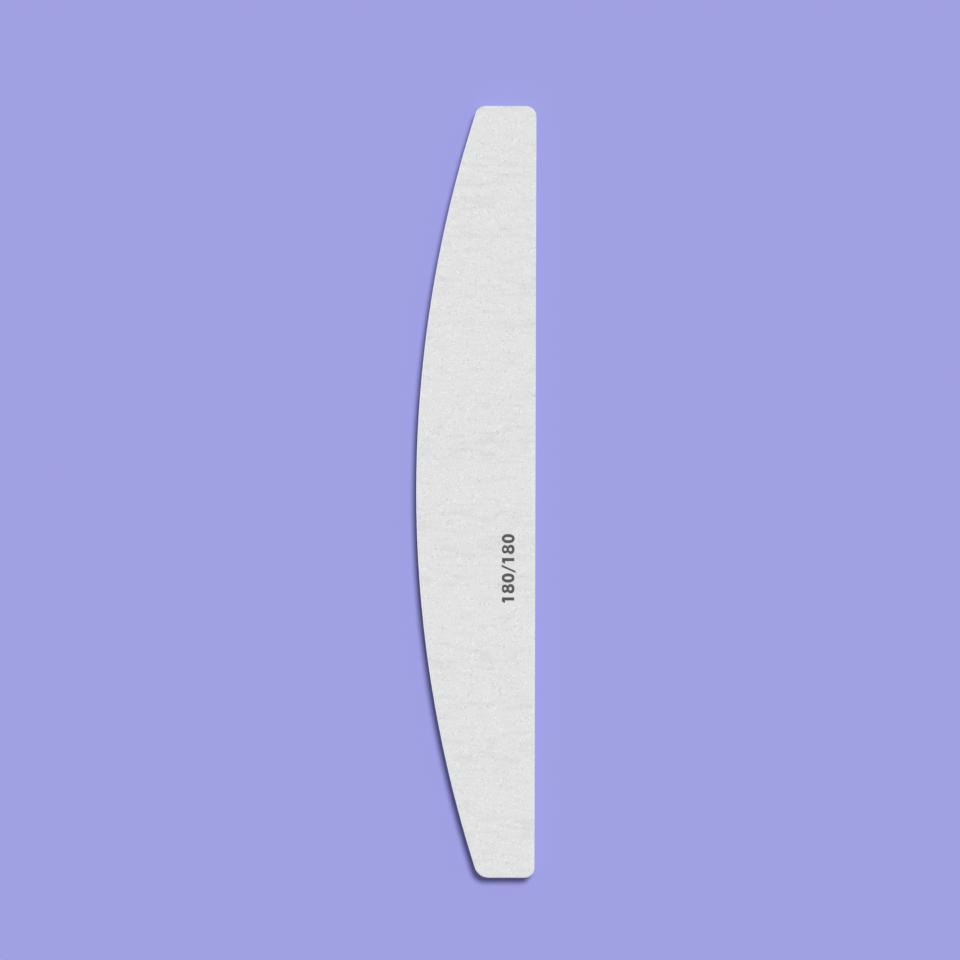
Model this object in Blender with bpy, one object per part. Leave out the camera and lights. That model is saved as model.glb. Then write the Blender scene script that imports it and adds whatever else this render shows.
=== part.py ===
"""Half-moon nail file: a board die-cut from a laminate of plastic core, foam and coated abrasive paper.

Run it with Blender 4.5: blender --background --python part.py
Lengths are metres and +Z is up. The file lies on its lower abrasive face with its length along Y, its
straight edge at +X and its half-moon edge at -X. The origin is under the centre of its box, at that face.
"""

import math

import bmesh
import bpy

MM = 0.001

# Outline, seen from above: the near end is at -Y and the far end at +Y
FILE_LENGTH = 178.0 * MM
FILE_WIDTH = 27.5 * MM  # from the straight edge to the crown of the half-moon
NEAR_END_WIDTH = 13.0 * MM  # measured to where the end's corners would be sharp
FAR_END_WIDTH = 13.5 * MM
NEAR_STRAIGHT_RADIUS = 2.3 * MM  # of the corner between the near end and the straight edge
FAR_STRAIGHT_RADIUS = 2.5 * MM
FAR_MOON_RADIUS = 2.3 * MM  # of the corner between the far end and the half-moon
NEAR_MOON_RADIUS = 3.3 * MM
HALF_MOON_STEPS = 20  # on each side of the crown
CORNER_STEPS = 6

# Layers, from the core outwards, the same on both sides
CORE_THICKNESS = 1.0 * MM
ADHESIVE_THICKNESS = 0.1 * MM
FOAM_THICKNESS = 0.85 * MM
PAPER_THICKNESS = 0.25 * MM
GRIT_THICKNESS = 0.15 * MM
BOND_CLEARANCE = 0.01 * MM  # between two bonded faces

# Cut edge, where the die pinched the board: the skins roll towards the core and the foam draws back
DIE_SIDE_ROLL = 0.10 * MM  # of the upper skin, where the die went in
BOARD_SIDE_ROLL = 0.05 * MM  # of the lower skin, which lay on the cutting board
ROLL_REACH = 0.6 * MM  # how far in from the cut a skin bends
ROLL_STEPS = 4
FOAM_WAIST = 0.12 * MM  # how far the foam draws back, at half its height
WAIST_STEPS = 4

SMOOTH_ANGLE = math.radians(30)

# Colour, roughness and metallic value of each material
FINISHES = {
    "grit_coat": ((0.755, 0.758, 0.757), 0.85, 0.0),
    "backing_paper": ((0.80, 0.79, 0.75), 0.80, 0.0),
    "adhesive": ((0.72, 0.66, 0.50), 0.45, 0.0),
    "foam": ((0.70, 0.71, 0.72), 0.90, 0.0),
    "core_plastic": ((0.83, 0.83, 0.81), 0.35, 0.0),
}


def clear_scene():
    """Remove everything that the startup file holds."""
    for obj in list(bpy.data.objects):
        bpy.data.objects.remove(obj)


def make_materials():
    """One Principled material for each finish, by name."""
    materials = {}
    for name, (colour, roughness, metallic) in FINISHES.items():
        material = bpy.data.materials.new(name)
        material.use_nodes = True
        material.diffuse_color = (*colour, 1.0)
        shader = material.node_tree.nodes["Principled BSDF"]
        shader.inputs["Base Color"].default_value = (*colour, 1.0)
        shader.inputs["Roughness"].default_value = roughness
        shader.inputs["Metallic"].default_value = metallic
        materials[name] = material
    return materials


def arc(centre_x, centre_y, radius, start, end, steps):
    """Points of a circular arc from one angle to the other, both ends included."""
    angles = [start + (end - start) * step / steps for step in range(steps + 1)]
    return [(centre_x + radius * math.cos(a), centre_y + radius * math.sin(a)) for a in angles]


def half_moon():
    """Radius and centre of the half-moon's circle, which meets both ends where their corners would be sharp.

    From each end the half-moon rises to its crown. On a circle, the square of the way along to the crown, plus
    the square of the rise, is twice the radius times the rise. Both ends together give a quadratic equation for
    the way from the near end, solved here in the form that also holds when the two ends are alike.
    """
    near_rise = FILE_WIDTH - NEAR_END_WIDTH
    far_rise = FILE_WIDTH - FAR_END_WIDTH
    square = 1 / near_rise - 1 / far_rise
    linear = FILE_LENGTH / far_rise
    constant = FILE_LENGTH**2 / far_rise + far_rise - near_rise
    near_to_crown = constant / (linear + math.sqrt(linear**2 + square * constant))
    radius = (near_to_crown**2 + near_rise**2) / (2 * near_rise)
    return radius, radius - FILE_WIDTH / 2, near_to_crown - FILE_LENGTH / 2


def outline():
    """The file's outline, anticlockwise: straight edge, far end, half-moon and near end, with round corners."""
    half_length = FILE_LENGTH / 2
    half_width = FILE_WIDTH / 2
    moon_radius, moon_x, moon_y = half_moon()

    def straight_corner(radius, side, start, end):
        """A corner that touches the straight edge and the end on this side."""
        return arc(half_width - radius, side * (half_length - radius), radius, start, end, CORNER_STEPS)

    def moon_corner(radius, side):
        """Centre of the corner at this end of the half-moon, and the angle where the two circles meet."""
        y = side * (half_length - radius)
        meet = math.pi - math.asin((y - moon_y) / (moon_radius - radius))
        return moon_x + (moon_radius - radius) * math.cos(meet), y, meet

    far_x, far_y, far_meet = moon_corner(FAR_MOON_RADIUS, 1)
    near_x, near_y, near_meet = moon_corner(NEAR_MOON_RADIUS, -1)
    return [
        *straight_corner(NEAR_STRAIGHT_RADIUS, -1, -math.pi / 2, 0),
        *straight_corner(FAR_STRAIGHT_RADIUS, 1, 0, math.pi / 2),
        *arc(far_x, far_y, FAR_MOON_RADIUS, math.pi / 2, far_meet, CORNER_STEPS),
        *arc(moon_x, moon_y, moon_radius, far_meet, math.pi, HALF_MOON_STEPS)[1:],
        *arc(moon_x, moon_y, moon_radius, math.pi, near_meet, HALF_MOON_STEPS)[1:-1],
        *arc(near_x, near_y, NEAR_MOON_RADIUS, near_meet, 3 * math.pi / 2, CORNER_STEPS),
    ]


def roll_rim(bm, face, lift):
    """Bend a flat face at its rim: lift at the cut edge, fading to none at ROLL_REACH inwards."""
    ring_width = ROLL_REACH / ROLL_STEPS
    for step in range(ROLL_STEPS):
        lift_share = (1 - step / ROLL_STEPS) ** 2
        inset = bmesh.ops.inset_region(bm, faces=[face], thickness=ring_width, use_even_offset=True)
        ring = {vert for strip in inset["faces"] for vert in strip.verts}
        outer = ring.difference(face.verts)
        bmesh.ops.translate(bm, verts=list(outer), vec=(0, 0, lift * lift_share))


def draw_in_wall(bm, bottom, top, depth):
    """Hollow the wall between two heights: rings are cut round it, then moved inwards to a parabola."""
    rings = []
    for step in range(1, WAIST_STEPS):
        height_share = step / WAIST_STEPS
        height = bottom + (top - bottom) * height_share
        everything = [*bm.verts, *bm.edges, *bm.faces]
        cut = bmesh.ops.bisect_plane(bm, geom=everything, plane_co=(0, 0, height), plane_no=(0, 0, 1))
        ring = [item for item in cut["geom_cut"] if isinstance(item, bmesh.types.BMVert)]
        rings.append((ring, 1 - (2 * height_share - 1) ** 2))
    bm.normal_update()
    for ring, depth_share in rings:
        for vert in ring:
            vert.co.xy -= vert.normal.xy.normalized() * depth * depth_share


def make_layer(name, material, thickness, bottom_lift, top_lift, waist):
    """One sheet of the file's outline, its flat underside at the object's own height zero.

    Each lift is how far that face rises at the cut edge, and is below zero where it drops.
    """
    bm = bmesh.new()
    corners = [bm.verts.new((x, y, 0)) for x, y in outline()]
    bottom = bmesh.ops.contextual_create(bm, geom=corners)["faces"][0]
    extruded = bmesh.ops.extrude_face_region(bm, geom=[bottom])
    top = next(item for item in extruded["geom"] if isinstance(item, bmesh.types.BMFace))
    bmesh.ops.translate(bm, verts=top.verts, vec=(0, 0, thickness))
    bmesh.ops.recalc_face_normals(bm, faces=bm.faces)
    if bottom_lift:
        roll_rim(bm, bottom, bottom_lift)
    if top_lift:
        roll_rim(bm, top, top_lift)
    if waist:
        draw_in_wall(bm, bottom_lift, thickness + top_lift, waist)
    mesh = bpy.data.meshes.new(name)
    bm.to_mesh(mesh)
    bm.free()
    mesh.shade_smooth()
    mesh.set_sharp_from_angle(angle=SMOOTH_ANGLE)
    mesh.materials.append(material)
    return bpy.data.objects.new(name, mesh)


def main():
    clear_scene()
    materials = make_materials()
    parts = bpy.data.collections.new("nail_file")
    bpy.context.scene.collection.children.link(parts)
    file_origin = bpy.data.objects.new("nail_file", None)
    parts.objects.link(file_origin)

    lift = BOARD_SIDE_ROLL
    drop = -DIE_SIDE_ROLL
    # From the bottom up: name, material, thickness, rim lift of its bottom and of its top, waist
    stack = [
        ("lower_grit_coat", "grit_coat", GRIT_THICKNESS, lift, lift, 0),
        ("lower_backing_paper", "backing_paper", PAPER_THICKNESS, lift, lift, 0),
        ("lower_paper_adhesive", "adhesive", ADHESIVE_THICKNESS, lift, lift, 0),
        ("lower_foam_pad", "foam", FOAM_THICKNESS, lift, 0, FOAM_WAIST),
        ("lower_core_adhesive", "adhesive", ADHESIVE_THICKNESS, 0, 0, 0),
        ("core_board", "core_plastic", CORE_THICKNESS, 0, 0, 0),
        ("upper_core_adhesive", "adhesive", ADHESIVE_THICKNESS, 0, 0, 0),
        ("upper_foam_pad", "foam", FOAM_THICKNESS, 0, drop, FOAM_WAIST),
        ("upper_paper_adhesive", "adhesive", ADHESIVE_THICKNESS, drop, drop, 0),
        ("upper_backing_paper", "backing_paper", PAPER_THICKNESS, drop, drop, 0),
        ("upper_grit_coat", "grit_coat", GRIT_THICKNESS, drop, drop, 0),
    ]
    base = 0
    for name, finish, thickness, bottom_lift, top_lift, waist in stack:
        layer = make_layer(name, materials[finish], thickness, bottom_lift, top_lift, waist)
        layer.parent = file_origin
        layer.location.z = base
        parts.objects.link(layer)
        base += thickness + BOND_CLEARANCE


main()
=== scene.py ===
"""Looks of the half-moon nail file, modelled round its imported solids.

Every layer of the laminate is remade at a finer scale where its solid stands: gritty faces with rolled rims,
die-cut paper, glue lines, porous foam and a scored plastic core. A printed grit number, a floor, a lamp and
a camera straight above complete the picture. Lengths are metres, +Z is up and the file lies along Y.
"""

import math
import random

import bmesh
import bpy
from bpy.props import FloatProperty, FloatVectorProperty, IntProperty, PointerProperty, StringProperty
from mathutils import Euler, Matrix, Vector, noise


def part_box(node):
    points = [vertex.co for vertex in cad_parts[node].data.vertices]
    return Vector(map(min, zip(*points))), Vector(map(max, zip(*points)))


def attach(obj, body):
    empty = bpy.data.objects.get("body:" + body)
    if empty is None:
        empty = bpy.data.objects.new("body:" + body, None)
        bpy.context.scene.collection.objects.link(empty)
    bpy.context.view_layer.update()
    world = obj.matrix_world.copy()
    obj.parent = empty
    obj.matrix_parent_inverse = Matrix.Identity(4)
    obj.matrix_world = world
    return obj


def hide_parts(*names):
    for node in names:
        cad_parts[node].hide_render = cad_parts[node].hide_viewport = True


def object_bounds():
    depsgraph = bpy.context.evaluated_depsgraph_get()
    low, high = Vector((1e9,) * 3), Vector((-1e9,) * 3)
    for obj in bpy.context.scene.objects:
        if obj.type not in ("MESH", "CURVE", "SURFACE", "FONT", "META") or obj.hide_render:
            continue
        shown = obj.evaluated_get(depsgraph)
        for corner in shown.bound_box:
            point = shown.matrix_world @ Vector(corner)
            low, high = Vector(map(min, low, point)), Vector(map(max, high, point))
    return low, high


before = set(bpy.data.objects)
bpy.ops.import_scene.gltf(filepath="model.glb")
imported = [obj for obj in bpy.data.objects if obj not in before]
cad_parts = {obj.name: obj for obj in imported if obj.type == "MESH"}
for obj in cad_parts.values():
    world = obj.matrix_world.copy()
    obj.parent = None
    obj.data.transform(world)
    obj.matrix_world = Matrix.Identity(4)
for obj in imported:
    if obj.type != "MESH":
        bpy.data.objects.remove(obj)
CAD_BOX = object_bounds()

bl_info = {
    "name": "Half-moon Nail File",
    "version": (1, 0, 0),
    "blender": (4, 5, 0),
    "location": "3D View > Sidebar > Nail File",
    "description": "Remakes the layers of a half-moon nail file with their real surfaces",
    "category": "Add Mesh",
}

MM = 0.001
SAME_PLACE = 0.001 * MM  # two places less than this apart count as one
PROBE_STEP = 0.001 * MM  # to either side of a point, to find the way in from the outline
SMOOTH_ANGLE = math.radians(40)

# How finely the rims, the corners and the number are meshed
ROLL_STEPS = 4
RIM_COLUMN_SHARES = (0, 0.1, 0.22, 0.36, 0.52, 0.74)  # of the roll's reach, from the cut edge inwards
CORNER_ROWS = 14
LEAST_CORNER_STEPS = 4
OVAL_STEPS = 40

# The mesh of a layer's cut edge: distance between its points along the outline, and its rows up the wall
CORE_WALL = (0.15 * MM, 5)
GLUE_WALL = (0.20 * MM, 3)
FOAM_WALL = (0.12 * MM, 8)
PAPER_WALL = (0.15 * MM, 4)

# Patterns in the grit: the size of their blobs across and along the file, and a seed
STREAKS = (5.0 * MM, 1.1 * MM, 3.1)
BANDS = (40 * MM, 4.5 * MM, 11.7)
MOTTLE = (1.6 * MM, 0.7 * MM, 7.3)
CROWDS = (1.7 * MM, 1.4 * MM, 5.9)
BAND_SHARE = 0.5  # of the streaks' depth
MOTTLE_SHARE = 0.15
HOLLOW_RANGE = (-0.15, 0.75)  # the noise that gives level grit, and that which gives the deepest hollow
CROWD_RANGE = (-0.3, 0.35)
SPARSE_SHARE = 0.15  # of the proud grains, where they crowd least
OCTAVE_FADE = 1.0  # how fast the finer octaves of a pattern fade
OCTAVE_RATIO = 2.0  # of one octave's blobs to the next one's

# Proud grains
GRAIN_RADIUS_SHARES = (0.4, 1)  # of the largest radius, along each axis of a crystal
GRAIN_PROUD_SHARES = (0.3, 0.95)  # of the height that a grain may stand out of the grit
GRAIN_SEED = 180

# Marks of the cut on each layer
CHIP_SIZE = 0.45 * MM
CHIP_REACH = 0.3 * MM
# These shares also set the painted highlight that pales the cut edge, which is strongest along the half-moon
STRAIGHT_WEAR_AND_HIGHLIGHT_SHARE = 0.6  # of the half-moon's wear, along the straight edge
END_WEAR_AND_HIGHLIGHT_SHARE = 0.3
FRAY_SIZE = 0.25 * MM
BEAD_SIZE = 0.9 * MM
BEAD_SHARE = 0.6  # of the glue's setback, that the largest bead fills
PORE_RANGE = (0.1, 0.7)  # from a cut cell's centre, in spacings: where its floor ends, and where its rim is
SCORE_SIZE = 0.5 * MM

# Blobs, cells and relief of the finishes. Three sizes are those across and along the file, and up
CLUMP_SIZE = 0.40 * MM
CRYSTAL_SIZE = 0.14 * MM
DUST_SIZE = 0.08 * MM
CELL_CENTRE_SHARE = 0.55  # mean distance from the nearest centre among cells, in cell sizes
GRIT_CLOUD_SIZES = (1.1 * MM, 0.8 * MM, 1.1 * MM)
GRIT_SPECK_SIZE = 0.30 * MM
GRIT_RELIEF = 0.05 * MM
FROST_SIZE = 0.06 * MM
FIBRE_SIZES = (0.5 * MM, 0.09 * MM, 0.06 * MM)
CRUSH_SIZES = (1.8 * MM, 1.8 * MM, 0.3 * MM)
PAPER_RELIEF = 0.03 * MM
GLUE_DUST_SIZE = 0.6 * MM
GLUE_RELIEF = 0.02 * MM
FOAM_CELL_SIZE = 0.11 * MM
FOAM_CLOUD_SIZE = 1.4 * MM
FOAM_RELIEF = 0.03 * MM
DIE_MARK_SIZES = (0.12 * MM, 0.12 * MM, 2.5 * MM)
CORE_CLOUD_SIZE = 2.5 * MM
CORE_RELIEF = 0.02 * MM
INK_SPECK_SIZE = 0.20 * MM
INK_RELIEF = 0.03 * MM

# The noise at which a mark begins to show, and that at which it is whole
# The pale rim is partly bared paper and partly a painted highlight
BARE_PAPER_AND_HIGHLIGHT_RANGE = (0.75, 0.95)
CRUSH_RANGE = (0.5, 0.75)
GLUE_DUST_RANGE = (0.4, 0.7)
WORN_INK_RANGE = (0.58, 0.80)

# How strongly a whole mark changes the colour under it
HOLLOW_TONE_SHARE = 0.6
CRUSH_TONE_SHARE = 0.25
# How dark the painted shade is at the bottom of a foam cell
PORE_PAINTED_SHADE_SHARE = 0.4
WORN_INK_SHARE = 0.3


def length(name, default, description):
    """A property that holds a length, given in millimetres."""
    return FloatProperty(
        name=name, description=description, default=default * MM, min=0, unit="LENGTH", precision=5
    )


def turn(name, default, description):
    """A property that holds an angle, given in degrees."""
    return FloatProperty(name=name, description=description, default=math.radians(default), unit="ROTATION")


def colour(name, default, description):
    """A property that holds a linear colour."""
    return FloatVectorProperty(
        name=name, description=description, default=default, subtype="COLOR", size=3, min=0, max=1
    )


class NailFileSizes(bpy.types.PropertyGroup):
    """Sizes of the surface detail. Those of the layers themselves come from the imported solids"""

    row_spacing: length("Row spacing", 0.25, "Distance along the file between the grit face's rows")
    column_spacing: length("Column spacing", 0.45, "Distance across the file between the grit face's columns")
    ripple: length("Ripple", 0.012, "Depth of the crosswise hollows in the grit")
    chip: length("Chip", 0.08, "How far the grit breaks back along the cut")
    grain_radius: length("Grain radius", 0.085, "Radius of the largest proud grains")
    grain_height: length("Grain height", 0.02, "How far a grain stands out of the grit")
    grain_count: IntProperty(name="Grains", description="Proud grains on each face", default=9000, min=1)
    paper_fray: length("Paper fray", 0.04, "Roughness of the paper's cut edge")
    glue_setback: length("Glue setback", 0.06, "How far a glue line lies in from the cut")
    foam_waist: length("Foam waist", 0.12, "How far the foam draws back at half its height")
    pore_spacing: length("Pore spacing", 0.28, "Distance between the foam's cut cells")
    pore_depth: length("Pore depth", 0.07, "Depth of the foam's cut cells")
    score_depth: length("Score depth", 0.015, "Depth of the marks that the die left on the core")
    number: StringProperty(
        name="Number", description="Grit of the two faces, in the glyphs 0, 1, 8 and /", default="180/180"
    )
    number_height: length("Number height", 2.845, "Height of the printed digits")
    number_start: length("Number start", 62.95, "From the near end to the first digit")
    number_margin: length("Number margin", 4.83, "From the straight edge to the digits' feet")
    ink_thickness: length("Ink thickness", 0.012, "How far the ink stands over the grit")


class NailFileColours(bpy.types.PropertyGroup):
    """Linear colours of the finishes"""

    grit: colour("Grit", (0.775, 0.776, 0.775), "The abrasive coat")
    grit_hollow: colour("Grit hollow", (0.70, 0.702, 0.703), "The abrasive coat where it lies lowest")
    # Painted highlight: the pale rim colour stands partly for paper bared at the cut and partly for light
    # painted on the rolled rim, lifting its shade
    rim: colour("Rim", (0.92, 0.923, 0.928), "The coat along the cut, where paper shows through")
    grain_dark: colour("Dark grain", (0.45, 0.451, 0.453), "The darkest grains")
    grain_pale: colour("Pale grain", (0.97, 0.97, 0.97), "The palest grains")
    paper: colour("Paper", (0.80, 0.785, 0.74), "The backing paper")
    glue: colour("Glue", (0.66, 0.60, 0.46), "The adhesive films")
    foam: colour("Foam", (0.74, 0.745, 0.75), "The foam pads")
    core: colour("Core", (0.82, 0.815, 0.79), "The plastic core")
    ink: colour("Ink", (0.085, 0.084, 0.085), "The printed number")
    floor: colour("Floor", (0.352, 0.352, 0.76), "The floor and the background")


class NailFileStage(bpy.types.PropertyGroup):
    """The lamp, the fill light and the camera"""

    key_elevation: turn("Key elevation", 65, "Height of the lamp above the horizon")
    key_azimuth: turn("Key azimuth", 60, "Direction of the lamp, from +X towards +Y")
    key_spread: turn("Key spread", 20, "How wide the lamp looks from the file")
    key_share: FloatProperty(
        name="Key share", description="The lamp's share of a flat face's light", default=0.75, min=0, max=1
    )
    floor_size: length("Floor size", 4000, "Half the side of the floor")
    view_height: length("View height", 1230, "From the upper face to the camera")
    view_across: length("View across", 0.95, "How far the camera lies towards +X")
    view_along: length("View along", 2.73, "How far the camera lies towards +Y")
    view_roll: turn("View roll", 0.155, "How far the camera turns, anticlockwise from above")
    nearest: length("Nearest", 10, "The least distance that the camera sees")
    lens: FloatProperty(name="Lens", description="Focal length in millimetres", default=200, min=1)


def line(start, end, spacing):
    """Points from start up to, but without, end."""
    steps = max(round(math.dist(start, end) / spacing), 1)
    return [tuple(Vector(start).lerp(Vector(end), step / steps)) for step in range(steps)]


class Corner:
    """A circle that rounds a corner of the outline."""

    def __init__(self, x, y, radius):
        self.x = x
        self.y = y
        self.radius = radius

    def over(self, y):
        """How far past the circle's middle, towards its end of the file, a place lies."""
        return abs(y) - abs(self.y)

    def half_chord(self, y):
        """Half the circle's width at a place along the file: its radius where the corner hasn't begun."""
        return math.sqrt(max(self.radius**2 - max(self.over(y), 0) ** 2, 0))

    def depth(self, x, y):
        """How far inside the circle a point lies."""
        return self.radius - math.hypot(x - self.x, y - self.y)

    def arc(self, start, end, spacing):
        """Points on the circle from one angle up to, but without, the other."""
        steps = max(round(self.radius * (end - start) / spacing), LEAST_CORNER_STEPS)
        angles = [start + (end - start) * step / steps for step in range(steps)]
        return [(self.x + self.radius * math.cos(a), self.y + self.radius * math.sin(a)) for a in angles]


class End:
    """A cut end of the outline, with its corners at the straight edge and at the half-moon.

    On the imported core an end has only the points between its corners, so the outermost ones give where each
    corner begins. The half-moon's corner is the circle that also touches the half-moon from inside.
    """

    def __init__(self, places, side, outline):
        flat = [place.x for place in places if place.y * side > outline.half_length - SAME_PLACE]
        radius = outline.half_width - max(flat)
        self.straight = Corner(max(flat), side * (outline.half_length - radius), radius)
        away = outline.moon_x - min(flat)
        rise = outline.half_length - side * outline.moon_y
        radius = (outline.moon_radius**2 - away**2 - rise**2) / (2 * (outline.moon_radius - rise))
        self.moon = Corner(min(flat), side * (outline.half_length - radius), radius)
        # Where the corner meets the half-moon: the way there from the half-moon's middle, and the place
        self.meet_steepness = (self.moon.y - outline.moon_y) / away
        self.meet = math.pi - math.atan(self.meet_steepness)
        self.meet_y = outline.moon_y + outline.moon_radius * math.sin(self.meet)


class Outline:
    """The file from above: straight edge at +X, half-moon at -X, two cut ends and four round corners.

    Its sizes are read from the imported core, where the crown of the half-moon is a point of its own.
    """

    def __init__(self, node):
        low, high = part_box(node)
        self.half_width = high.x
        self.half_length = high.y
        places = [vert.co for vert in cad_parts[node].data.vertices]
        crown = min(places, key=lambda place: place.x)
        # Another point of the half-moon, about half way from the middle to the far end
        between = min(places, key=lambda place: abs(place.y - high.y / 2) + max(place.x, 0))
        rise = between.x - crown.x
        self.moon_radius = (rise**2 + (between.y - crown.y) ** 2) / (2 * rise)
        self.moon_x = crown.x + self.moon_radius
        self.moon_y = crown.y
        self.near_end = End(places, -1, self)
        self.far_end = End(places, 1, self)

    def end(self, y):
        """The end that is nearer to this place along the file."""
        return self.far_end if y > 0 else self.near_end

    def sides(self, y):
        """The outline's X at the half-moon and at the straight edge, at this place along the file."""
        end = self.end(y)
        right = end.straight.x + end.straight.half_chord(y)
        if abs(y - self.moon_y) < abs(end.meet_y - self.moon_y):
            left = self.moon_x - math.sqrt(self.moon_radius**2 - (y - self.moon_y) ** 2)
        else:
            left = end.moon.x - end.moon.half_chord(y)
        return left, right

    def depth(self, x, y):
        """How far inside the outline a point lies, below zero outside it."""
        end = self.end(y)
        if x > end.straight.x and end.straight.over(y) > 0:
            return end.straight.depth(x, y)
        steepness = (y - self.moon_y) / (self.moon_x - x)
        if x < end.moon.x and end.moon.over(y) > 0 and abs(steepness) > abs(end.meet_steepness):
            return end.moon.depth(x, y)
        from_moon = math.hypot(self.moon_x - x, y - self.moon_y)
        return min(self.half_width - x, self.half_length - abs(y), self.moon_radius - from_moon)

    def inwards(self, x, y):
        """The direction straight in from the nearest edge."""
        across = self.depth(x + PROBE_STEP, y) - self.depth(x - PROBE_STEP, y)
        along = self.depth(x, y + PROBE_STEP) - self.depth(x, y - PROBE_STEP)
        return Vector((across, along)).normalized()

    def points(self, spacing):
        """Points along the outline, anticlockwise from the straight edge's near end, about evenly spaced."""
        quarter = math.pi / 2
        near, far = self.near_end, self.far_end
        moon = Corner(self.moon_x, self.moon_y, self.moon_radius)
        side_x, far_y = self.half_width, self.half_length
        return [
            *line((side_x, near.straight.y), (side_x, far.straight.y), spacing),
            *far.straight.arc(0, quarter, spacing),
            *line((far.straight.x, far_y), (far.moon.x, far_y), spacing),
            *far.moon.arc(quarter, far.meet, spacing),
            *moon.arc(far.meet, near.meet, spacing),
            *near.moon.arc(near.meet, 3 * quarter, spacing),
            *line((near.moon.x, -far_y), (near.straight.x, -far_y), spacing),
            *near.straight.arc(3 * quarter, 4 * quarter, spacing),
        ]


OUTLINE = Outline("core_board")


def box_height(node):
    """A CAD node's height."""
    low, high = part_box(node)
    return high.z - low.z


def flat_margin(node):
    """How far in from the outline a CAD node's flat top begins."""
    low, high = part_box(node)
    flat = [vert.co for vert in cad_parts[node].data.vertices if vert.co.z > high.z - SAME_PLACE]
    return min(OUTLINE.depth(place.x, place.y) for place in flat)


ROLL_REACH = flat_margin("upper_grit_coat")

# The flat glue by the core and the rolled glue by the paper are equally thick: their boxes differ by the roll
UPPER_LIFT = box_height("upper_core_adhesive") - box_height("upper_paper_adhesive")
LOWER_LIFT = box_height("lower_paper_adhesive") - box_height("lower_core_adhesive")


def roll(depth):
    """How much of a rim's lift is left at a depth inside the outline, from 1 at the cut edge to 0."""
    return (1 - min(max(depth / ROLL_REACH, 0), 1)) ** 2


class Layer:
    """Where a layer lies: its two flat faces, and how far each rises at the cut edge.

    A face that drops there has a lift below zero.
    """

    def __init__(self, node, slot, bottom_lift=0, top_lift=0):
        low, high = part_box(node)
        self.node = node
        self.slot = slot
        self.side = -1 if node.startswith("lower") else 1
        self.bottom_lift = bottom_lift
        self.top_lift = top_lift
        self.bottom = low.z - min(bottom_lift, 0)
        self.top = high.z - max(top_lift, 0)
        self.rim_bottom = self.bottom + bottom_lift
        self.rim_top = self.top + top_lift

    def height_share(self, z):
        """Where a height lies on the cut edge, from 0 at its foot to 1 at its top."""
        return (z - self.rim_bottom) / (self.rim_top - self.rim_bottom)

    def lift(self, height_share):
        """How far the cut edge is lifted at this share of its height."""
        return self.bottom_lift + (self.top_lift - self.bottom_lift) * height_share


UPPER_GRIT = Layer("upper_grit_coat", "grit_coat", UPPER_LIFT, UPPER_LIFT)
GRIT_LAYERS = (
    Layer("lower_grit_coat", "grit_coat", LOWER_LIFT, LOWER_LIFT),
    UPPER_GRIT,
)
PAPER_LAYERS = (
    Layer("lower_backing_paper", "backing_paper", LOWER_LIFT, LOWER_LIFT),
    Layer("upper_backing_paper", "backing_paper", UPPER_LIFT, UPPER_LIFT),
)
GLUE_LAYERS = (
    Layer("lower_paper_adhesive", "adhesive", LOWER_LIFT, LOWER_LIFT),
    Layer("lower_core_adhesive", "adhesive"),
    Layer("upper_core_adhesive", "adhesive"),
    Layer("upper_paper_adhesive", "adhesive", UPPER_LIFT, UPPER_LIFT),
)
FOAM_LAYERS = (
    Layer("lower_foam_pad", "foam", LOWER_LIFT, 0),
    Layer("upper_foam_pad", "foam", 0, UPPER_LIFT),
)
CORE_LAYER = Layer("core_board", "core_plastic")


def waves(x, y, pattern, side, octaves=3):
    """Smooth noise of about -1 to 1 in a pattern's blobs, other ones on each side of the file."""
    across, along, seed = pattern
    return noise.fractal(Vector((x / across, y / along, seed * side)), OCTAVE_FADE, OCTAVE_RATIO, octaves)


def lumps(point, size):
    """Smooth noise of 0 to 1 in space."""
    return 0.5 + 0.5 * noise.noise(Vector(point) / size)


def smooth_step(value, low, high):
    """0 below low and 1 above high, with an even turn between them."""
    share = min(max((value - low) / (high - low), 0), 1)
    return share * share * (3 - 2 * share)


def hollow(x, y, side):
    """How deep the grit lies at a point, from 0 to 1: short streaks across the file, gathered in bands."""
    depth = waves(x, y, STREAKS, side)
    depth += BAND_SHARE * waves(x, y, BANDS, side)
    depth += MOTTLE_SHARE * waves(x, y, MOTTLE, side)
    return smooth_step(depth, *HOLLOW_RANGE)


def crowding(x, y, side):
    """How thickly the sharper grains lie at a point, from 0 to 1."""
    return smooth_step(waves(x, y, CROWDS, side, octaves=2), *CROWD_RANGE)


def grit_height(layer, x, y, sizes):
    """The grit face's height at a point: rolled at the rim, and sunk by hollows and the room for grains."""
    rim_share = roll(OUTLINE.depth(x, y))
    sunk = layer.side * (sizes.grain_height + sizes.ripple * hollow(x, y, layer.side))
    if layer.side > 0:
        return layer.top + layer.top_lift * rim_share - sunk
    return layer.bottom + layer.bottom_lift * rim_share - sunk


def wear_and_painted_highlight(x, y):
    """How pale the cut edge is painted at a point, from 0 to 1, most along the half-moon: partly paper bared
    by the cut, partly a painted highlight that lifts the shade of the rolled rim.
    """
    depth = OUTLINE.depth(x, y)
    if depth > ROLL_REACH:
        return 0
    across, along = OUTLINE.inwards(x, y)
    side_share = 1 if across > 0 else STRAIGHT_WEAR_AND_HIGHLIGHT_SHARE
    return (side_share * across**2 + END_WEAR_AND_HIGHLIGHT_SHARE * along**2) * (1 - depth / ROLL_REACH)


def mid_height(height_share):
    """1 at half the height of a cut edge, falling to 0 at its foot and its top along a parabola."""
    return 4 * height_share * (1 - height_share)


def pore(place, spacing):
    """How deep a point lies in one of the foam's cut cells, from 0 to 1."""
    distances, _ = noise.voronoi(place / spacing)
    return 1 - smooth_step(distances[0], *PORE_RANGE)


def of_type(kind, geometry):
    """The verts, edges or faces among the geometry that an operator returned."""
    return [item for item in geometry if isinstance(item, kind)]


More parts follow.
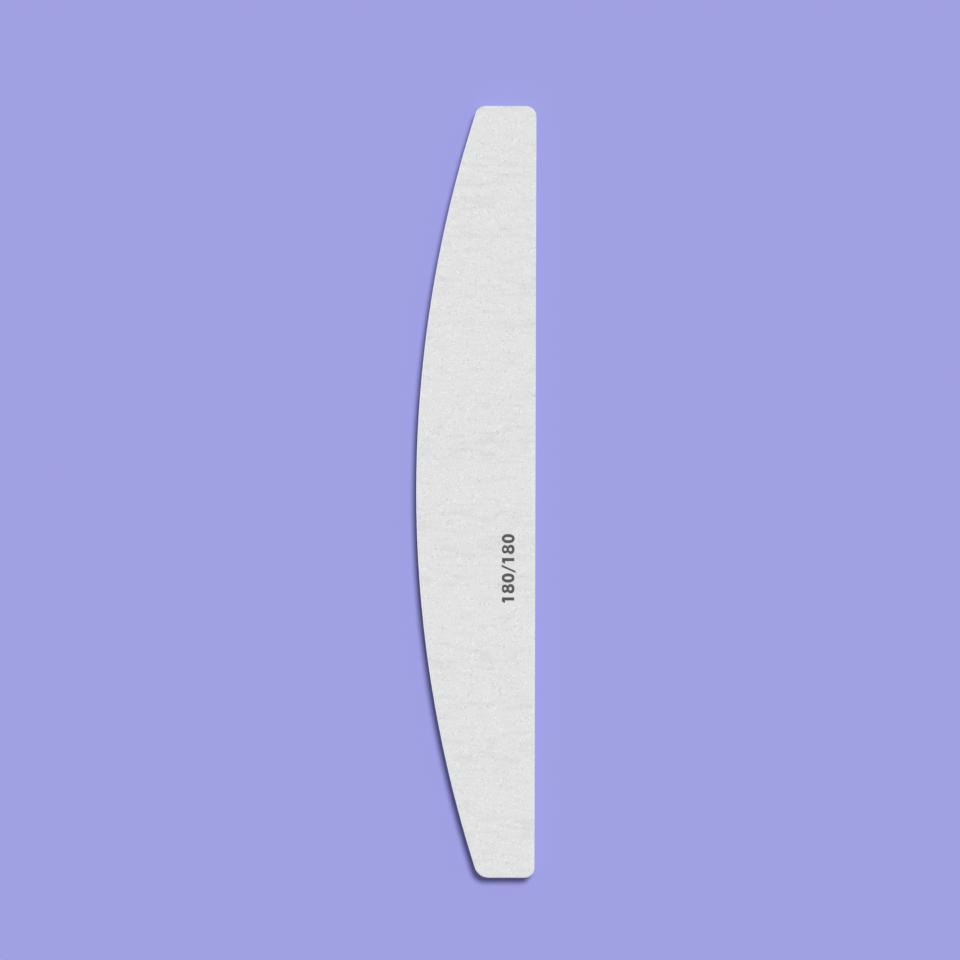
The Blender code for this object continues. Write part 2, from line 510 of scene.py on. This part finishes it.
def new_object(name, bm, material, smooth):
    """An object at the origin from a bmesh, which takes the place of an older one of its name."""
    old = bpy.data.objects.get(name)
    if old:
        bpy.data.objects.remove(old)
    mesh = bpy.data.meshes.new(name)
    bm.to_mesh(mesh)
    bm.free()
    if smooth:
        mesh.shade_smooth()
        mesh.set_sharp_from_angle(angle=SMOOTH_ANGLE)
    mesh.materials.append(material)
    made = bpy.data.objects.new(name, mesh)
    bpy.context.scene.collection.objects.link(made)
    return made


def new_piece(name, bm, material, smooth=True):
    """A finished piece of the file, which rides on its one body."""
    piece = new_object(name, bm, material, smooth)
    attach(piece, "root")
    return piece


def dish(bm, face, rim_lift):
    """Take the middle of a face from its rim's height to the flat level, ring by ring."""
    ring_width = ROLL_REACH / ROLL_STEPS
    for step in range(ROLL_STEPS):
        bmesh.ops.inset_region(bm, faces=[face], thickness=ring_width, use_even_offset=True)
        rise = rim_lift * (roll((step + 1) * ring_width) - roll(step * ring_width))
        bmesh.ops.translate(bm, verts=face.verts, vec=(0, 0, rise))


def make_plate(layer, wall_mesh, press):
    """A layer's closed sheet in the outline's shape, its wall pressed in by press(place, height share).

    A point that is pressed in stays between the rolled faces, so it rises or drops as they do.
    """
    spacing, rows = wall_mesh
    bm = bmesh.new()
    corners = [bm.verts.new((x, y, layer.rim_bottom)) for x, y in OUTLINE.points(spacing)]
    bottom = bmesh.ops.contextual_create(bm, geom=corners)["faces"][0]
    extruded = bmesh.ops.extrude_face_region(bm, geom=[bottom])["geom"]
    top = of_type(bmesh.types.BMFace, extruded)[0]
    bmesh.ops.translate(bm, verts=top.verts, vec=(0, 0, layer.rim_top - layer.rim_bottom))
    upright = [edge for edge in bm.edges if edge.verts[0].co.z != edge.verts[1].co.z]
    bmesh.ops.subdivide_edges(bm, edges=upright, cuts=rows - 1, use_grid_fill=True)
    bmesh.ops.recalc_face_normals(bm, faces=bm.faces)
    if layer.bottom_lift:
        dish(bm, bottom, layer.bottom_lift)
    if layer.top_lift:
        dish(bm, top, layer.top_lift)
    wall = [vert for vert in bm.verts if abs(OUTLINE.depth(vert.co.x, vert.co.y)) < SAME_PLACE]
    for vert in wall:
        height_share = layer.height_share(vert.co.z)
        depth = press(vert.co, height_share)
        vert.co.xy += OUTLINE.inwards(vert.co.x, vert.co.y) * depth
        vert.co.z += layer.lift(height_share) * (roll(depth) - 1)
    return bm


def row_places(spacing):
    """Where the grit face's rows lie along the file: evenly, but by angle along each end's larger corner."""
    near, far = (max(end.straight.radius, end.moon.radius) for end in (OUTLINE.near_end, OUTLINE.far_end))
    start, stop = near - OUTLINE.half_length, OUTLINE.half_length - far
    shares = [math.sin(math.pi / 2 * step / CORNER_ROWS) for step in range(1, CORNER_ROWS + 1)]
    steps = round((stop - start) / spacing)
    near_rows = [start - near * share for share in reversed(shares)]
    middle_rows = [start + (stop - start) * step / steps for step in range(steps + 1)]
    far_rows = [stop + far * share for share in shares]
    return near_rows + middle_rows + far_rows


def column_place(column, last, y):
    """Where one of the grit face's columns crosses a row: close together on the rolled rims, then even."""
    left, right = OUTLINE.sides(y)
    rim = len(RIM_COLUMN_SHARES)
    if column < rim:
        return left + ROLL_REACH * RIM_COLUMN_SHARES[column]
    if last - column < rim:
        return right - ROLL_REACH * RIM_COLUMN_SHARES[last - column]
    across_share = (column - rim) / (last - 2 * rim)
    return left + ROLL_REACH + (right - left - 2 * ROLL_REACH) * across_share


def make_grit_coat(layer, sizes):
    """A grit coat: a fine grid laid on the outline, with a chipped cut edge and a closed back."""
    rows = row_places(sizes.row_spacing)
    last = round(2 * (OUTLINE.half_width - ROLL_REACH) / sizes.column_spacing) + 2 * len(RIM_COLUMN_SHARES)
    bm = bmesh.new()
    hollow_layer = bm.verts.layers.float.new("hollow")
    crowd_layer = bm.verts.layers.float.new("crowd")
    wear_and_highlight_layer = bm.verts.layers.float.new("rim")
    bmesh.ops.create_grid(bm, x_segments=last, y_segments=len(rows) - 1, size=1)
    for vert in bm.verts:
        y = rows[round((vert.co.y + 1) / 2 * (len(rows) - 1))]
        x = column_place(round((vert.co.x + 1) / 2 * last), last, y)
        vert.co = (x, y, grit_height(layer, x, y, sizes))
        vert[hollow_layer] = hollow(x, y, layer.side)
        vert[crowd_layer] = crowding(x, y, layer.side)
        # The rim attribute holds where the cut edge is painted pale: partly wear, partly painted highlight
        vert[wear_and_highlight_layer] = wear_and_painted_highlight(x, y)
    face = list(bm.verts)
    cut_edge = [edge for edge in bm.edges if edge.is_boundary]
    dropped = bmesh.ops.extrude_edge_only(bm, edges=cut_edge)["geom"]
    for vert in of_type(bmesh.types.BMVert, dropped):
        vert.co.z = layer.rim_bottom if layer.side > 0 else layer.rim_top
    back_edge = [edge for edge in of_type(bmesh.types.BMEdge, dropped) if edge.is_boundary]
    back = bmesh.ops.edgeloop_fill(bm, edges=back_edge)["faces"][0]
    bmesh.ops.recalc_face_normals(bm, faces=bm.faces)
    dish(bm, back, layer.bottom_lift)
    for vert in face:
        depth = OUTLINE.depth(vert.co.x, vert.co.y)
        if depth < CHIP_REACH:
            chip = sizes.chip * lumps(vert.co, CHIP_SIZE) ** 2 * (1 - depth / CHIP_REACH)
            vert.co.xy += OUTLINE.inwards(vert.co.x, vert.co.y) * chip
    return bm


def scatter_place(dice, side, margin):
    """A random point on the file, at least margin inside its outline, and likelier where the grains crowd."""
    while True:
        x = dice.uniform(-OUTLINE.half_width, OUTLINE.half_width)
        y = dice.uniform(-OUTLINE.half_length, OUTLINE.half_length)
        likelihood = SPARSE_SHARE + (1 - SPARSE_SHARE) * crowding(x, y, side)
        if OUTLINE.depth(x, y) > margin and dice.random() < likelihood:
            return x, y


def make_grains(layer, sizes):
    """The proud grains of one face: crystals of uneven shape, sunk in the coat up to their tips.

    A crystal that is taller than the coat is cut off flat within it.
    """
    dice = random.Random(GRAIN_SEED + layer.side)
    room = layer.top - layer.bottom - sizes.grain_height - sizes.ripple
    bm = bmesh.new()
    bmesh.ops.create_icosphere(bm, subdivisions=1, radius=1)
    crystal = [vert.co.copy() for vert in bm.verts]
    one = [list(part) for part in (bm.verts, bm.edges, bm.faces)]
    made = 1
    while made < sizes.grain_count:
        take = min(made, sizes.grain_count - made)
        parts = (bm.verts, bm.edges, bm.faces)
        copied = [item for part, items in zip(parts, one) for item in part[: take * len(items)]]
        bmesh.ops.duplicate(bm, geom=copied)
        made += take
        for part in (bm.verts, bm.edges, bm.faces):
            part.ensure_lookup_table()
    for grain in range(made):
        x, y = scatter_place(dice, layer.side, sizes.grain_radius)
        tumble = Euler([dice.uniform(0, math.tau) for _ in range(3)]).to_matrix()
        radii = [dice.uniform(*GRAIN_RADIUS_SHARES) * sizes.grain_radius for _ in range(3)]
        stretch = Matrix.Diagonal(radii)
        shape = [tumble @ stretch @ corner for corner in crystal]
        tip = max(point.z * layer.side for point in shape)
        proud = sizes.grain_height * dice.uniform(*GRAIN_PROUD_SHARES)
        surface = grit_height(layer, x, y, sizes)
        centre = Vector((x, y, surface + layer.side * (proud - tip)))
        for vert, point in zip(bm.verts[grain * len(crystal) : (grain + 1) * len(crystal)], shape):
            vert.co = centre + point
            vert.co.z = surface - layer.side * min(layer.side * (surface - vert.co.z), room)
    return bm


# Glyphs of the grit number, in shares of the digits' height: width of a cell, then each outline or oval.
# An oval is its centre across and up, and its radii across and up.
CELL_SHARES = {"1": 0.87, "8": 0.87, "0": 0.87, "/": 0.58}
ONE_SHARES = ((0.355, 0), (0.61, 0), (0.61, 1), (0.285, 1), (0.16, 0.84), (0.16, 0.745), (0.355, 0.755))
SLASH_SHARES = ((-0.03, -0.105), (0.14, -0.105), (0.64, 1.025), (0.47, 1.025))
ZERO_SHARES = ((0.44, 0.5, 0.375, 0.515), (0.44, 0.5, 0.125, 0.3))
EIGHT_LOBE_SHARES = ((0.44, 0.285, 0.38, 0.3), (0.44, 0.755, 0.34, 0.255))
EIGHT_HOLE_SHARES = ((0.44, 0.315, 0.145, 0.115), (0.44, 0.74, 0.12, 0.11))
OVAL_POWER = 0.9  # that an oval's sines and cosines are raised to: 1 is an ellipse, and less is squarer


def fuller(value):
    """A sine or cosine of a squarer oval."""
    return math.copysign(abs(value) ** OVAL_POWER, value)


def oval(across, up, half_width, half_height):
    """Points round an oval, anticlockwise from its lowest one."""
    angles = [math.tau * (step / OVAL_STEPS - 0.25) for step in range(OVAL_STEPS)]
    shares = [(fuller(math.cos(angle)), fuller(math.sin(angle))) for angle in angles]
    return [(across + half_width * over, up + half_height * rise) for over, rise in shares]


def in_oval(point, across, up, half_width, half_height):
    """Whether a point lies in an oval."""
    sides = (abs(point[0] - across) / half_width, abs(point[1] - up) / half_height)
    return sum(side ** (2 / OVAL_POWER) for side in sides) < 1


def two_lobes(lower, upper):
    """The common outline of two ovals that overlap one above the other."""
    foot = [point for point in oval(*lower) if not in_oval(point, *upper)]
    head = [point for point in oval(*upper) if not in_oval(point, *lower)]
    middle = lower[0]
    right = [point for point in foot + head if point[0] >= middle]
    left = [point for point in head + foot if point[0] < middle]
    return sorted(right, key=lambda point: point[1]) + sorted(left, key=lambda point: -point[1])


def glyph_outlines(character):
    """The closed outlines of a glyph, holes included."""
    if character == "1":
        return [ONE_SHARES]
    if character == "/":
        return [SLASH_SHARES]
    if character == "0":
        return [oval(*shares) for shares in ZERO_SHARES]
    if character == "8":
        return [two_lobes(*EIGHT_LOBE_SHARES), *(oval(*shares) for shares in EIGHT_HOLE_SHARES)]
    raise ValueError(f"There is no glyph for {character!r}")


def make_number(layer, sizes):
    """The printed number, a thin closed film on the grit. It reads along the file, its feet at +X."""
    bm = bmesh.new()
    foot_x = OUTLINE.half_width - sizes.number_margin
    start_y = sizes.number_start - OUTLINE.half_length
    for character in sizes.number:
        edges = []
        for shares in glyph_outlines(character):
            corners = [
                bm.verts.new((foot_x - up * sizes.number_height, start_y + across * sizes.number_height, 0))
                for across, up in shares
            ]
            edges += [bm.edges.new(pair) for pair in zip(corners, corners[1:] + corners[:1])]
        bmesh.ops.triangle_fill(bm, edges=edges, use_beauty=True)
        start_y += CELL_SHARES[character] * sizes.number_height
    # Cuts both ways let the film follow the grit
    for axis in (0, 1):
        places = [vert.co[axis] for vert in bm.verts]
        cuts = round((max(places) - min(places)) / sizes.row_spacing)
        for cut in range(1, cuts):
            plane = Vector((0, 0, 0))
            plane[axis] = min(places) + cut * sizes.row_spacing
            across = Vector((0, 0, 0))
            across[axis] = 1
            everything = [*bm.verts, *bm.edges, *bm.faces]
            bmesh.ops.bisect_plane(bm, geom=everything, plane_co=plane, plane_no=across)
    film = bmesh.ops.extrude_face_region(bm, geom=list(bm.faces))["geom"]
    bmesh.ops.translate(bm, verts=of_type(bmesh.types.BMVert, film), vec=(0, 0, 2 * sizes.ink_thickness))
    for vert in bm.verts:
        vert.co.z += grit_height(layer, vert.co.x, vert.co.y, sizes) - sizes.ink_thickness
    bmesh.ops.recalc_face_normals(bm, faces=bm.faces)
    return bm


class Wire:
    """An output of a node. Arithmetic with it adds the Math nodes that work it out."""

    def __init__(self, nodes, socket):
        self.nodes = nodes
        self.socket = socket

    def math(self, operation, *operands):
        """The result of a Math node on these operands."""
        return self.nodes.add("ShaderNodeMath", {"operation": operation}, dict(enumerate(operands)))

    def __add__(self, other):
        return self.math("ADD", self, other)

    def __sub__(self, other):
        return self.math("SUBTRACT", self, other)

    def __rsub__(self, other):
        return self.math("SUBTRACT", other, self)

    def __mul__(self, other):
        return self.math("MULTIPLY", self, other)

    __radd__ = __add__
    __rmul__ = __mul__


class Nodes:
    """A node tree that is put together from Python."""

    def __init__(self, tree):
        self.tree = tree

    def set(self, node, sockets):
        """Give a node's input sockets their values or links."""
        for key, value in sockets.items():
            socket = node.inputs[key]
            if isinstance(value, Wire):
                self.tree.links.new(value.socket, socket)
            elif socket.type == "RGBA":
                socket.default_value = (*value, 1)
            else:
                socket.default_value = value

    def add(self, kind, settings=None, sockets=None, output=0):
        """Add a node: its settings come first, then its sockets. Returns one of its outputs."""
        node = self.tree.nodes.new(kind)
        for key, value in (settings or {}).items():
            setattr(node, key, value)
        self.set(node, sockets or {})
        return Wire(self, node.outputs[output])


class Finish(Nodes):
    """A material with one Principled shader, whose patterns are measured in metres on the object."""

    def __init__(self, name, constants):
        self.material = bpy.data.materials.get(name) or bpy.data.materials.new(name)
        self.material.use_nodes = True
        super().__init__(self.material.node_tree)
        self.shader = self.tree.nodes["Principled BSDF"]
        self.feed(constants)
        self.place = self.add("ShaderNodeTexCoord", output="Object")

    def feed(self, sockets):
        """Set or link the shader's own sockets."""
        self.set(self.shader, sockets)

    def shrink(self, across, along, up):
        """The place on the object, measured in these lengths."""
        scale = (1 / across, 1 / along, 1 / up)
        return self.add("ShaderNodeVectorMath", {"operation": "MULTIPLY"}, {0: self.place, 1: scale})

    def noise(self, across, along=None, up=None, detail=2.0):
        """Soft noise of about 0.3 to 0.7, with blobs of these lengths."""
        place = self.shrink(across, along or across, up or across)
        return self.add("ShaderNodeTexNoise", None, {"Vector": place, "Scale": 1.0, "Detail": detail})

    def cells(self, size, output="Distance"):
        """Cells of about this size: the distance from the nearest centre, or a colour for each."""
        place = self.shrink(size, size, size)
        return self.add("ShaderNodeTexVoronoi", None, {"Vector": place, "Scale": 1.0}, output)

    def attribute(self, name):
        """A value that the mesh's points carry."""
        return self.add("ShaderNodeAttribute", {"attribute_name": name}, output="Fac")

    def step(self, value, low, high):
        """0 below low and 1 above high, with an even turn between them."""
        limits = {0: value, 1: low, 2: high}
        return self.add("ShaderNodeMapRange", {"interpolation_type": "SMOOTHSTEP"}, limits)

    def mix(self, share, first, second, blend="MIX"):
        """Blend two colours."""
        settings = {"data_type": "RGBA", "blend_type": blend}
        return self.add("ShaderNodeMix", settings, {0: share, 6: first, 7: second}, output=2)

    def shade(self, body, brightness):
        """A colour made darker or brighter by a factor."""
        return self.mix(1.0, body, brightness, "MULTIPLY")

    def bump(self, height, depth):
        """A normal that follows a height of 0 to 1 over this depth."""
        return self.add("ShaderNodeBump", None, {"Distance": depth, "Height": height}, output="Normal")


def grit_finish(colours):
    """Pale mineral grit in resin: clumps, crystals and dust, sharper in crowds and greyer in the hollows."""
    finish = Finish("Grit", {"Specular IOR Level": 0.3})
    low = finish.attribute("hollow")
    crowd = finish.attribute("crowd")
    # Where the coat is painted pale along the cut: partly wear, partly painted highlight
    rim = finish.attribute("rim")
    cloud = finish.noise(*GRIT_CLOUD_SIZES)
    speck = finish.noise(GRIT_SPECK_SIZE, detail=3.0)
    clump = CELL_CENTRE_SHARE - finish.cells(CLUMP_SIZE)
    # Here the maths turns each cell's colour into a grey of its own
    crystal_tone = finish.cells(CRYSTAL_SIZE, "Color") - 0.5
    dust_tone = finish.cells(DUST_SIZE, "Color") - 0.5
    relief = 0.4 * speck - 0.4 * finish.cells(CRYSTAL_SIZE) - 0.3 * finish.cells(DUST_SIZE)

    body = finish.mix(HOLLOW_TONE_SHARE * low, colours.grit, colours.grit_hollow)
    contrast = (0.03 + 0.25 * crowd) * (clump + crystal_tone) + (0.15 + 0.2 * crowd) * dust_tone
    body = finish.shade(body, 0.98 + 0.04 * cloud + contrast)
    # Painted highlight: along the cut the coat turns to the pale rim colour, partly bared paper and partly
    # light painted over the rolled rim's shade
    bare_paper_and_highlight = finish.step(rim + 0.4 * speck, *BARE_PAPER_AND_HIGHLIGHT_RANGE)
    body = finish.mix(bare_paper_and_highlight, body, colours.rim)
    finish.feed({"Base Color": body, "Roughness": 0.78 + 0.2 * speck})
    finish.feed({"Normal": finish.bump(relief, GRIT_RELIEF)})
    return finish.material


def grain_finish(colours):
    """Single crystals, each of its own grey, with faint glints."""
    finish = Finish("Grit Grains", {"Specular IOR Level": 0.5})
    island = finish.add("ShaderNodeNewGeometry", output="Random Per Island")
    frost = finish.noise(FROST_SIZE)
    body = finish.mix(finish.step(island, 0.0, 1.0), colours.grain_dark, colours.grain_pale)
    body = finish.shade(body, 0.9 + 0.2 * frost)
    finish.feed({"Base Color": body, "Roughness": 0.3 + 0.4 * frost})
    return finish.material


def paper_finish(colours):
    """Latex paper seen at its cut: matted fibres, a little darker where they were crushed."""
    finish = Finish("Backing Paper", {"Specular IOR Level": 0.3})
    long, wide, high = FIBRE_SIZES
    fibre = finish.noise(long, wide, high) + finish.noise(wide, long, high)
    crush = finish.step(finish.noise(*CRUSH_SIZES), *CRUSH_RANGE)
    body = finish.shade(colours.paper, 0.8 + 0.2 * fibre)
    body = finish.mix(CRUSH_TONE_SHARE * crush, body, colours.glue)
    finish.feed({"Base Color": body, "Roughness": 0.8 + 0.12 * fibre})
    finish.feed({"Normal": finish.bump(fibre, PAPER_RELIEF)})
    return finish.material


def glue_finish(colours):
    """Clear amber adhesive, dusty in places."""
    finish = Finish("Adhesive", {"IOR": 1.47})
    dust = finish.noise(GLUE_DUST_SIZE, detail=4.0)
    body = finish.mix(finish.step(dust, *GLUE_DUST_RANGE), colours.glue, colours.paper)
    finish.feed({"Base Color": body, "Roughness": 0.2 + 0.5 * dust})
    finish.feed({"Normal": finish.bump(dust, GLUE_RELIEF)})
    return finish.material


def foam_finish(colours):
    """Closed-cell foam, with painted shade at the bottom of its cut cells."""
    finish = Finish("Foam", {"Specular IOR Level": 0.25})
    depth = finish.attribute("pore")
    skin = finish.cells(FOAM_CELL_SIZE)
    cloud = finish.noise(FOAM_CLOUD_SIZE)
    body = finish.shade(colours.foam, 0.9 + 0.2 * cloud)
    # Painted shade: the colour darkens towards the bottom of each cut cell
    body = finish.shade(body, 1.0 - PORE_PAINTED_SHADE_SHARE * depth)
    finish.feed({"Base Color": body, "Roughness": 0.82 + 0.15 * cloud})
    finish.feed({"Normal": finish.bump(skin, FOAM_RELIEF)})
    return finish.material


def core_finish(colours):
    """Satin white plastic, with the fine upright marks of the die."""
    finish = Finish("Core Plastic", {"IOR": 1.55})
    score = finish.noise(*DIE_MARK_SIZES)
    cloud = finish.noise(CORE_CLOUD_SIZE)
    body = finish.shade(colours.core, 0.92 + 0.16 * cloud)
    finish.feed({"Base Color": body, "Roughness": 0.25 + 0.35 * score})
    finish.feed({"Normal": finish.bump(score, CORE_RELIEF)})
    return finish.material


def ink_finish(colours):
    """Matt black ink, thin over the tips of the grit."""
    finish = Finish("Ink", {"Specular IOR Level": 0.3})
    speck = finish.noise(INK_SPECK_SIZE, detail=3.0)
    worn = finish.step(speck, *WORN_INK_RANGE)
    body = finish.mix(WORN_INK_SHARE * worn, colours.ink, colours.grit)
    finish.feed({"Base Color": body, "Roughness": 0.6 + 0.3 * speck})
    finish.feed({"Normal": finish.bump(speck, INK_RELIEF)})
    return finish.material


def floor_finish(colours):
    """A plain pale surface."""
    constants = {"Specular IOR Level": 0.0, "Roughness": 1.0, "Base Color": colours.floor}
    return Finish("Floor", constants).material


class NailFileOperator:
    """What the operators share."""

    bl_options = {"REGISTER", "UNDO"}


class NAILFILE_OT_core_board(NailFileOperator, bpy.types.Operator):
    """Punch out the plastic core, its cut edge scored by the die"""

    bl_idname = "nailfile.core_board"
    bl_label = "Core Board"

    def execute(self, context):
        sizes = context.scene.nail_file_sizes

        def score(place, height_share):
            return sizes.score_depth * lumps((place.x / SCORE_SIZE, place.y / SCORE_SIZE, 0), 1)

        bm = make_plate(CORE_LAYER, CORE_WALL, score)
        piece = new_piece("core_strip", bm, core_finish(context.scene.nail_file_colours))
        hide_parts(CORE_LAYER.node)
        return {"FINISHED"}


class NAILFILE_OT_glue_lines(NailFileOperator, bpy.types.Operator):
    """Spread the four adhesive films, drawn back from the cut and beaded"""

    bl_idname = "nailfile.glue_lines"
    bl_label = "Glue Lines"

    def execute(self, context):
        sizes = context.scene.nail_file_sizes
        material = glue_finish(context.scene.nail_file_colours)

        def draw_back(place, height_share):
            return sizes.glue_setback * (1 - BEAD_SHARE * mid_height(height_share) * lumps(place, BEAD_SIZE))

        for layer in GLUE_LAYERS:
            bm = make_plate(layer, GLUE_WALL, draw_back)
            piece = new_piece(layer.node.replace("adhesive", "glue_line"), bm, material)
            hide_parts(layer.node)
        return {"FINISHED"}


class NAILFILE_OT_foam_pads(NailFileOperator, bpy.types.Operator):
    """Cut the two foam pads, waisted by the die and pitted with open cells"""

    bl_idname = "nailfile.foam_pads"
    bl_label = "Foam Pads"

    def execute(self, context):
        sizes = context.scene.nail_file_sizes
        material = foam_finish(context.scene.nail_file_colours)

        def pit(place, height_share):
            inwards = sizes.foam_waist + sizes.pore_depth * pore(place, sizes.pore_spacing)
            return mid_height(height_share) * inwards

        for layer in FOAM_LAYERS:
            bm = make_plate(layer, FOAM_WALL, pit)
            # The cells' depth, which the foam finish turns into painted shade
            pore_layer = bm.verts.layers.float.new("pore")
            for vert in bm.verts:
                vert[pore_layer] = pore(vert.co, sizes.pore_spacing)
            piece = new_piece(layer.node.replace("pad", "layer"), bm, material)
            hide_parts(layer.node)
        return {"FINISHED"}


class NAILFILE_OT_backing_papers(NailFileOperator, bpy.types.Operator):
    """Lay the two backing papers, their cut edges slightly frayed"""

    bl_idname = "nailfile.backing_papers"
    bl_label = "Backing Papers"

    def execute(self, context):
        sizes = context.scene.nail_file_sizes
        material = paper_finish(context.scene.nail_file_colours)

        def fray(place, height_share):
            return sizes.paper_fray * lumps(place, FRAY_SIZE)

        for layer in PAPER_LAYERS:
            bm = make_plate(layer, PAPER_WALL, fray)
            piece = new_piece(layer.node.replace("paper", "sheet"), bm, material)
            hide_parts(layer.node)
        return {"FINISHED"}


class NAILFILE_OT_grit_coats(NailFileOperator, bpy.types.Operator):
    """Lay the two abrasive faces, with their hollows, rolled rims and chipped edges"""

    bl_idname = "nailfile.grit_coats"
    bl_label = "Grit Coats"

    def execute(self, context):
        material = grit_finish(context.scene.nail_file_colours)
        for layer in GRIT_LAYERS:
            bm = make_grit_coat(layer, context.scene.nail_file_sizes)
            piece = new_piece(layer.node.replace("coat", "face"), bm, material)
            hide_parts(layer.node)
        return {"FINISHED"}


class NAILFILE_OT_grains(NailFileOperator, bpy.types.Operator):
    """Sprinkle both faces with proud grains"""

    bl_idname = "nailfile.grains"
    bl_label = "Grains"

    def execute(self, context):
        material = grain_finish(context.scene.nail_file_colours)
        for layer in GRIT_LAYERS:
            bm = make_grains(layer, context.scene.nail_file_sizes)
            new_piece(layer.node.replace("coat", "grains"), bm, material, smooth=False)
        return {"FINISHED"}


class NAILFILE_OT_number(NailFileOperator, bpy.types.Operator):
    """Print the grit number on the upper face"""

    bl_idname = "nailfile.number"
    bl_label = "Grit Number"

    def execute(self, context):
        bm = make_number(UPPER_GRIT, context.scene.nail_file_sizes)
        new_piece("grit_number", bm, ink_finish(context.scene.nail_file_colours))
        return {"FINISHED"}


class NAILFILE_OT_stage(NailFileOperator, bpy.types.Operator):
    """Set up the floor, the lamp, the fill light and the camera"""

    bl_idname = "nailfile.stage"
    bl_label = "Stage"

    def execute(self, context):
        scene = context.scene
        self.add_floor(scene.nail_file_stage, scene.nail_file_colours)
        self.add_lamp(scene.nail_file_stage)
        self.add_world(scene.nail_file_stage, scene.nail_file_colours)
        self.add_camera(scene.nail_file_stage)
        scene.view_settings.view_transform = "Standard"
        return {"FINISHED"}

    def add_floor(self, stage, colours):
        """A flat square at the height that the file rests on."""
        bm = bmesh.new()
        bmesh.ops.create_grid(bm, x_segments=1, y_segments=1, size=stage.floor_size)
        floor = new_object("floor", bm, floor_finish(colours), smooth=False)

    def add_lamp(self, stage):
        """A broad even lamp that gives a flat face its share of full brightness."""
        lamp = bpy.data.lights.new("key_lamp", "SUN")
        lamp.angle = stage.key_spread
        lamp.energy = math.pi * stage.key_share / math.sin(stage.key_elevation)
        lamp_object = bpy.data.objects.new("key_lamp", lamp)
        turned = Euler((0, -stage.key_elevation, stage.key_azimuth)).to_matrix()
        towards = turned @ Vector((1, 0, 0))
        lamp_object.location = towards * stage.view_height
        lamp_object.rotation_euler = towards.to_track_quat("Z", "Y").to_euler()
        bpy.context.scene.collection.objects.link(lamp_object)

    def add_world(self, stage, colours):
        """An even sky for the rest of the light, of the floor's colour to the camera and in reflections."""
        world = bpy.data.worlds.new("studio")
        world.use_nodes = True
        bpy.context.scene.world = world
        nodes = Nodes(world.node_tree)
        rays = ("Is Camera Ray", "Is Glossy Ray", "Is Transmission Ray")
        camera, glossy, transmission = [nodes.add("ShaderNodeLightPath", output=ray) for ray in rays]
        fill = nodes.add("ShaderNodeBackground", None, {"Color": (1, 1, 1), "Strength": 1 - stage.key_share})
        seen = nodes.add("ShaderNodeBackground", None, {"Color": colours.floor, "Strength": 1})
        shown = camera + glossy + transmission
        either = nodes.add("ShaderNodeMixShader", None, {0: shown, 1: fill, 2: seen})
        nodes.set(world.node_tree.nodes["World Output"], {"Surface": either})

    def add_camera(self, stage):
        """A camera that looks straight down, with the file's length up the picture."""
        camera = bpy.data.cameras.new("camera")
        camera.lens = stage.lens
        camera.clip_start = stage.nearest
        camera.clip_end = 2 * stage.floor_size
        camera_object = bpy.data.objects.new("camera", camera)
        camera_object.location = (stage.view_across, stage.view_along, CAD_BOX[1].z + stage.view_height)
        camera_object.rotation_euler.z = stage.view_roll
        bpy.context.scene.collection.objects.link(camera_object)
        bpy.context.scene.camera = camera_object


GROUPS = {
    "nail_file_sizes": NailFileSizes,
    "nail_file_colours": NailFileColours,
    "nail_file_stage": NailFileStage,
}
OPERATORS = (
    NAILFILE_OT_core_board,
    NAILFILE_OT_glue_lines,
    NAILFILE_OT_foam_pads,
    NAILFILE_OT_backing_papers,
    NAILFILE_OT_grit_coats,
    NAILFILE_OT_grains,
    NAILFILE_OT_number,
    NAILFILE_OT_stage,
)


class VIEW3D_PT_nail_file(bpy.types.Panel):
    """The steps that make the nail file, and the values that they read"""

    bl_label = "Nail File"
    bl_space_type = "VIEW_3D"
    bl_region_type = "UI"
    bl_category = "Nail File"

    def draw(self, context):
        for operator in OPERATORS:
            self.layout.operator(operator.bl_idname)
        for pointer, group in GROUPS.items():
            box = self.layout.box()
            for name in group.__annotations__:
                box.prop(getattr(context.scene, pointer), name)


CLASSES = (*GROUPS.values(), *OPERATORS, VIEW3D_PT_nail_file)


def register():
    for item in CLASSES:
        bpy.utils.register_class(item)
    for pointer, group in GROUPS.items():
        setattr(bpy.types.Scene, pointer, PointerProperty(type=group))


def unregister():
    for pointer in GROUPS:
        delattr(bpy.types.Scene, pointer)
    for item in reversed(CLASSES):
        bpy.utils.unregister_class(item)


def main():
    register()
    bpy.ops.nailfile.core_board()
    bpy.ops.nailfile.glue_lines()
    bpy.ops.nailfile.foam_pads()
    bpy.ops.nailfile.backing_papers()
    bpy.ops.nailfile.grit_coats()
    bpy.ops.nailfile.grains()
    bpy.ops.nailfile.number()
    bpy.ops.nailfile.stage()


if __name__ == "__main__":
    main()
